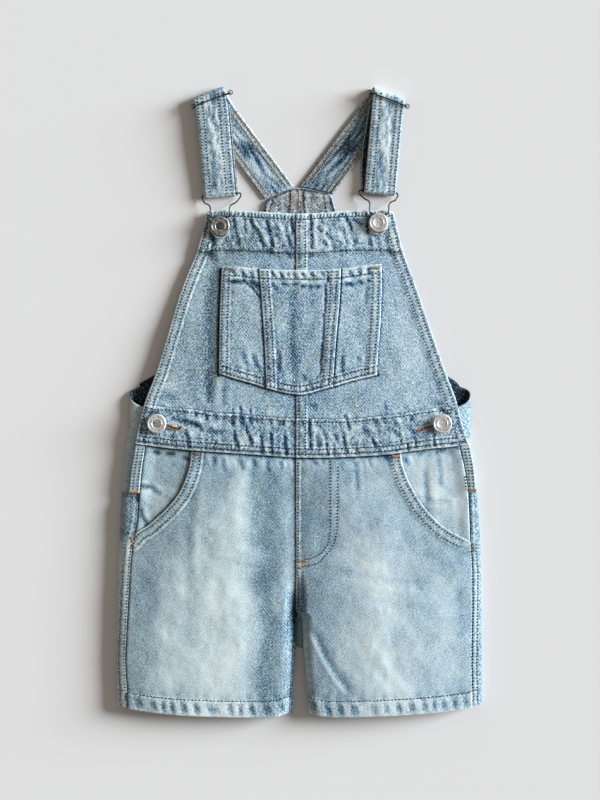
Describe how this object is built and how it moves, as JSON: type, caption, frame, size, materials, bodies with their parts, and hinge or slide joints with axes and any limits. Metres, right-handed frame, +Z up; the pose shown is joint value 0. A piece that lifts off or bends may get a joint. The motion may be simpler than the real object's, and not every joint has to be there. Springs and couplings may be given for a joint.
{
  "type": "kids dungaree shorts",
  "caption": "Light-wash denim dungaree shorts for a child, laid flat with the front up, straps folded over and fastened to the bib with wire buckles and metal buttons.",
  "frame": {"origin": "on the floor, at the middle of the part's box: the box's middle left to right and hem to strap fold", "axes": "+X to the viewer's right, +Y from the hems towards the straps, +Z up out of the floor"},
  "size_m": [0.3198, 0.5526, 0.015],
  "materials": {
    "denim": "light stonewashed cotton twill with faded thighs and indigo seam grooves",
    "denim_inside": "greyer wrong side of the same twill",
    "button": "antique silver, worn bright on the rings",
    "wire": "dark nickel wire"
  },
  "bodies": {
    "root": {"back_facing": "denim_inside", "back_left": "denim", "back_right": "denim", "bib_button_left": "button", "bib_button_right": "button", "bib_pocket_left": "denim", "bib_pocket_middle": "denim", "bib_pocket_right": "denim", "buckle_left": "wire", "buckle_right": "wire", "front_bib_left": "denim", "front_bib_right": "denim", "front_leg_left": "denim", "front_leg_right": "denim", "pocket_facing_left": "denim", "pocket_facing_right": "denim", "side_button_left": "button", "side_button_right": "button", "side_placket_left": "denim", "side_placket_right": "denim", "slider_left": "wire", "slider_right": "wire", "strap_left": "denim", "strap_right": "denim", "waistband_left": "denim", "waistband_right": "denim"}
  },
  "joints": []
}
